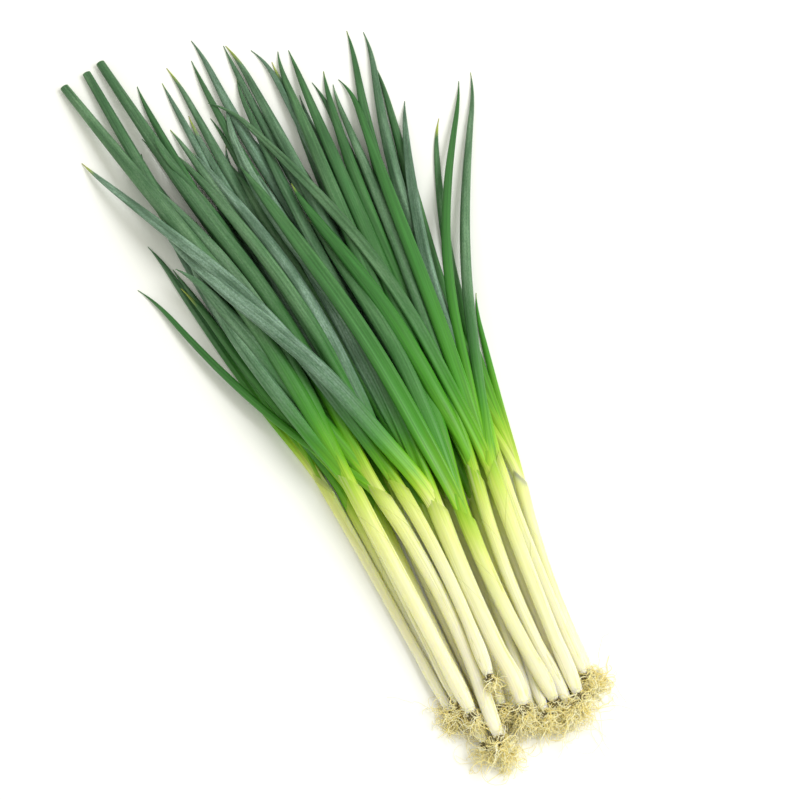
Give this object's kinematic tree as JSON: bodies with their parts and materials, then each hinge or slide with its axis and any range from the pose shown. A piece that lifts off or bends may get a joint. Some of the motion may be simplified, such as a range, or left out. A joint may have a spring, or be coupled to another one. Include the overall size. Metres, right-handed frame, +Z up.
{
  "type": "spring onion bunch",
  "caption": "Loose bunch of spring onions lying on its side: pale straight shafts, long hollow tapering green leaves and tufts of fine roots.",
  "frame": {"origin": "on the table under the middle of the bunch's box", "axes": "+Y along the bunch, from the roots to the leaf tips; +X across it; +Z up from the table"},
  "size_m": [0.223, 0.4656, 0.0427],
  "materials": {
    "shaft": "pale, moist and faintly glossy, white at the foot and yellow-green towards the neck",
    "leaves": "dark green with a waxy bloom, bright yellow-green where they leave the neck",
    "roots": "dry, matt straw colour, dark brown at the crown"
  },
  "bodies": {
    "root": {"shaft_01": "shaft", "leaves_01": "leaves", "roots_01": "roots", "shaft_02": "shaft", "leaves_02": "leaves", "roots_02": "roots", "shaft_03": "shaft", "leaves_03": "leaves", "roots_03": "roots", "shaft_04": "shaft", "leaves_04": "leaves", "roots_04": "roots", "shaft_05": "shaft", "leaves_05": "leaves", "roots_05": "roots", "shaft_06": "shaft", "leaves_06": "leaves", "roots_06": "roots", "shaft_07": "shaft", "leaves_07": "leaves", "roots_07": "roots", "shaft_08": "shaft", "leaves_08": "leaves", "roots_08": "roots", "shaft_09": "shaft", "leaves_09": "leaves", "roots_09": "roots", "shaft_10": "shaft", "leaves_10": "leaves", "roots_10": "roots", "shaft_11": "shaft", "leaves_11": "leaves", "roots_11": "roots", "shaft_12": "shaft", "leaves_12": "leaves", "roots_12": "roots", "shaft_13": "shaft", "leaves_13": "leaves", "roots_13": "roots", "shaft_14": "shaft", "leaves_14": "leaves", "roots_14": "roots", "shaft_15": "shaft", "leaves_15": "leaves", "roots_15": "roots", "shaft_16": "shaft", "leaves_16": "leaves", "roots_16": "roots", "shaft_17": "shaft", "leaves_17": "leaves", "roots_17": "roots", "shaft_18": "shaft", "leaves_18": "leaves", "roots_18": "roots", "shaft_19": "shaft", "leaves_19": "leaves", "roots_19": "roots", "shaft_20": "shaft", "leaves_20": "leaves", "roots_20": "roots"}
  },
  "joints": []
}
